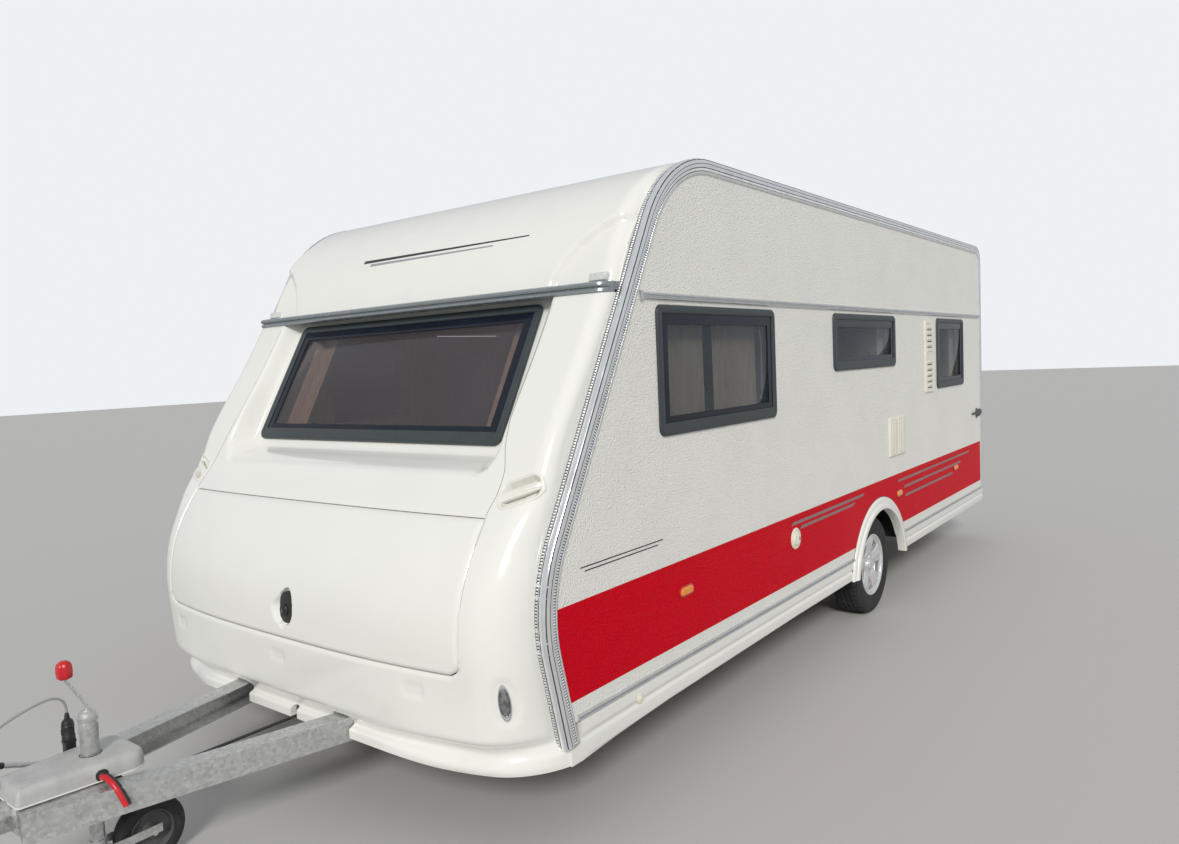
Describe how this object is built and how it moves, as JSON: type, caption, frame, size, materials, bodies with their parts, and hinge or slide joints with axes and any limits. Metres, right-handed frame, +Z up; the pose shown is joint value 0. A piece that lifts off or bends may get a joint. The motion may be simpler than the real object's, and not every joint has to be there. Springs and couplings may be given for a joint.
{
  "type": "travel caravan",
  "caption": "Single-axle touring caravan with hollow body, hinged door and gas locker lid, jockey wheel, corner steadies and ball coupling.",
  "frame": {"origin": "on the ground under the centre of the whole object's box", "axes": "+X to the side without a door, -Y to the drawbar and coupling, +Z up"},
  "size_m": [2.556, 7.82, 2.7],
  "materials": {
    "moulding_white": "glossy moulded shell",
    "wall_white": "pebbled sandwich sheet",
    "trim_alloy": "bright rolled trim",
    "frame_slate": "satin window frame",
    "pane": "tinted acrylic",
    "curtain": "pleated cloth",
    "galvanised": "spangled zinc",
    "steel_dark": "black paint",
    "tyre": "road tyre",
    "wheel_alloy": "silver lacquer",
    "plastic_white": "ivory plastic",
    "plastic_dark": "black plastic",
    "plastic_grey": "light grey plastic",
    "knob_red": "red plastic",
    "lens_orange": "orange lens",
    "lens_red": "red lens",
    "floor_board": "sealed plywood",
    "cable": "grey cable sheath"
  },
  "bodies": {
    "root": {"awning_rails": "trim_alloy", "axle_beam": "galvanised", "brake_rod": "steel_dark", "cable": "cable", "chassis_beam_left": "galvanised", "chassis_beam_right": "galvanised", "clamp_handle": "knob_red", "corner_trims": "trim_alloy", "coupling_head": "galvanised", "cross_members": "galvanised", "curtain_rails": "plastic_white", "curtains": "curtain", "drawbar_cover": "plastic_grey", "floor": "floor_board", "front_cap": "moulding_white", "front_locker": "moulding_white", "front_panel": "moulding_white", "front_skirt": "moulding_white", "grab_handles": "plastic_white", "handbrake_lever": "galvanised", "jockey_clamp": "galvanised", "jockey_tube": "galvanised", "lower_rails": "trim_alloy", "marker_lamps": "lens_orange", "overrun_housing": "galvanised", "plug": "plastic_dark", "plug_holder": "plastic_dark", "rain_rail": "plastic_grey", "rear_panel": "wall_white", "rear_skirt": "moulding_white", "roof": "wall_white", "roof_fittings": "plastic_white", "side_fittings": "plastic_white", "side_skirts": "plastic_white", "steady_brackets": "galvanised", "tail_lamps": "lens_red", "trailing_arms": "steel_dark", "wall_left": "wall_white", "wall_right": "wall_white", "wheel_arches": "plastic_white", "wheel_boxes": "plastic_dark", "window_frames": "frame_slate", "window_panes": "pane"},
    "wheel_left": {"tyre_left": "tyre", "rim_left": "wheel_alloy"},
    "wheel_right": {"tyre_right": "tyre", "rim_right": "wheel_alloy"},
    "jockey_leg": {"jockey_leg": "galvanised"},
    "jockey_fork": {"jockey_fork": "galvanised"},
    "jockey_wheel": {"jockey_wheel": "tyre"},
    "locker_lid": {"locker_lid": "moulding_white"},
    "entrance_door": {"entrance_door": "wall_white", "door_pane": "pane"},
    "steady_front_left": {"steady_front_left": "galvanised"},
    "steady_front_right": {"steady_front_right": "galvanised"},
    "steady_rear_left": {"steady_rear_left": "galvanised"},
    "steady_rear_right": {"steady_rear_right": "galvanised"}
  },
  "joints": [
    {"name": "wheel_left_spin", "type": "hinge", "parent": "root", "child": "wheel_left", "pos_m": [1.1, 1.105, 0.325], "axis": [1, 0, 0], "continuous": true},
    {"name": "wheel_right_spin", "type": "hinge", "parent": "root", "child": "wheel_right", "pos_m": [-1.1, 1.105, 0.325], "axis": [1, 0, 0], "continuous": true},
    {"name": "jockey_lift", "type": "slide", "parent": "root", "child": "jockey_leg", "axis": [0, 0, 1], "range_m": [0, 0.055]},
    {"name": "jockey_swivel", "type": "hinge", "parent": "jockey_leg", "child": "jockey_fork", "pos_m": [0, -3.32, 0.17], "axis": [0, 0, 1], "continuous": true},
    {"name": "jockey_wheel_spin", "type": "hinge", "parent": "jockey_fork", "child": "jockey_wheel", "pos_m": [0, -3.145, 0.125], "axis": [1, 0, 0], "continuous": true},
    {"name": "locker_lid_hinge", "type": "hinge", "parent": "root", "child": "locker_lid", "pos_m": [0, -2.371, 1.217], "axis": [-1, 0, 0], "range_deg": [0, 78]},
    {"name": "entrance_door_hinge", "type": "hinge", "parent": "root", "child": "entrance_door", "pos_m": [-1.264, -0.481, 1.2], "axis": [0, 0, 1], "range_deg": [0, 165]},
    {"name": "steady_front_left_swing", "type": "hinge", "parent": "root", "child": "steady_front_left", "pos_m": [0.96, -1.38, 0.372], "axis": [1, 0, 0], "range_deg": [0, 59]},
    {"name": "steady_front_right_swing", "type": "hinge", "parent": "root", "child": "steady_front_right", "pos_m": [-0.96, -1.38, 0.372], "axis": [1, 0, 0], "range_deg": [0, 59]},
    {"name": "steady_rear_left_swing", "type": "hinge", "parent": "root", "child": "steady_rear_left", "pos_m": [0.96, 3.02, 0.372], "axis": [-1, 0, 0], "range_deg": [0, 59]},
    {"name": "steady_rear_right_swing", "type": "hinge", "parent": "root", "child": "steady_rear_right", "pos_m": [-0.96, 3.02, 0.372], "axis": [-1, 0, 0], "range_deg": [0, 59]}
  ]
}
